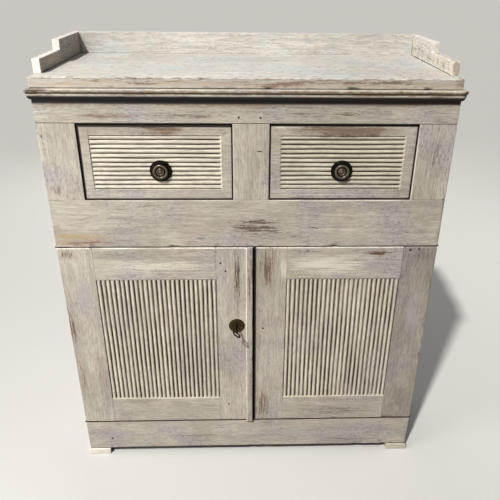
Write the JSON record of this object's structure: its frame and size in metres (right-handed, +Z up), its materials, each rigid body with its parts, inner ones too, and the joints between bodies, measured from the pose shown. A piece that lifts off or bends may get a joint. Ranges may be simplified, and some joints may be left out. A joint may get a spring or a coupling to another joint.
{
  "type": "buffet cabinet",
  "caption": "Painted wooden buffet cabinet with a stepped gallery, reeded drawers over reeded doors, a turning lock key and block feet, for storing tableware.",
  "frame": {"origin": "on the floor, midway between the sides and midway between the tip of the key and the back", "axes": "+X to the right seen from the front, +Y to the back, +Z up"},
  "size_m": [0.8786, 0.407, 1.0433],
  "materials": {
    "worn_paint": "old off-white paint, rubbed through in places",
    "reeded_paint": "ivory paint on carved reeds with dark valleys",
    "bare_pine": "unpainted aged pine",
    "aged_brass": "dark patinated brass",
    "dark_iron": "dark forged iron"
  },
  "bodies": {
    "carcass": {"plinth_rail": "worn_paint", "drawer_rail": "worn_paint", "top_rail": "worn_paint", "left_stile": "worn_paint", "centre_stile": "worn_paint", "right_stile": "worn_paint", "left_side": "worn_paint", "right_side": "worn_paint", "bottom_board": "bare_pine", "shelf": "bare_pine", "back_board_1": "bare_pine", "back_board_2": "bare_pine", "back_board_3": "bare_pine", "front_left_foot": "worn_paint", "front_right_foot": "worn_paint", "back_left_foot": "worn_paint", "back_right_foot": "worn_paint", "top_board": "worn_paint", "cornice_front": "worn_paint", "cornice_left": "worn_paint", "cornice_right": "worn_paint", "gallery_back": "worn_paint", "gallery_left": "worn_paint", "gallery_right": "worn_paint", "left_runner": "bare_pine", "centre_runner": "bare_pine", "right_runner": "bare_pine", "left_top_pivot": "dark_iron", "left_bottom_pivot": "dark_iron", "right_top_pivot": "dark_iron", "right_bottom_pivot": "dark_iron"},
    "left_drawer": {"left_drawer_front": "reeded_paint", "left_drawer_left_side": "bare_pine", "left_drawer_right_side": "bare_pine", "left_drawer_back": "bare_pine", "left_drawer_bottom": "bare_pine", "left_drawer_rosette": "aged_brass", "left_drawer_knob": "aged_brass"},
    "right_drawer": {"right_drawer_front": "reeded_paint", "right_drawer_left_side": "bare_pine", "right_drawer_right_side": "bare_pine", "right_drawer_back": "bare_pine", "right_drawer_bottom": "bare_pine", "right_drawer_rosette": "aged_brass", "right_drawer_knob": "aged_brass"},
    "left_door": {"left_door_hinge_stile": "worn_paint", "left_door_meeting_stile": "worn_paint", "left_door_top_rail": "worn_paint", "left_door_bottom_rail": "worn_paint", "left_door_panel": "reeded_paint", "meeting_strip": "worn_paint", "escutcheon": "aged_brass", "lock_case": "dark_iron"},
    "right_door": {"right_door_hinge_stile": "worn_paint", "right_door_meeting_stile": "worn_paint", "right_door_top_rail": "worn_paint", "right_door_bottom_rail": "worn_paint", "right_door_panel": "reeded_paint"},
    "lock_bolt": {"lock_bolt": "dark_iron"},
    "key": {"key": "dark_iron"}
  },
  "joints": [
    {"name": "left_drawer_slide", "type": "slide", "parent": "carcass", "child": "left_drawer", "axis": [0, -1, 0], "range_m": [0, 0.24]},
    {"name": "right_drawer_slide", "type": "slide", "parent": "carcass", "child": "right_drawer", "axis": [0, -1, 0], "range_m": [0, 0.24]},
    {"name": "left_door_hinge", "type": "hinge", "parent": "carcass", "child": "left_door", "pos_m": [-0.422, -0.1485, 0.3675], "axis": [0, 0, -1], "range_deg": [0, 115]},
    {"name": "right_door_hinge", "type": "hinge", "parent": "carcass", "child": "right_door", "pos_m": [0.422, -0.1485, 0.3675], "axis": [0, 0, 1], "range_deg": [0, 115]},
    {"name": "key_turn", "type": "hinge", "parent": "left_door", "child": "key", "pos_m": [-0.02995, -0.1565, 0.412], "axis": [0, 1, 0], "range_deg": [0, 180]},
    {"name": "lock_bolt_slide", "type": "slide", "parent": "left_door", "child": "lock_bolt", "axis": [1, 0, 0], "range_m": [0, 0.015]}
  ],
  "couplings": [
    {"joint": "lock_bolt_slide", "follows": "key_turn", "m_per_rad": 0.004774}
  ]
}
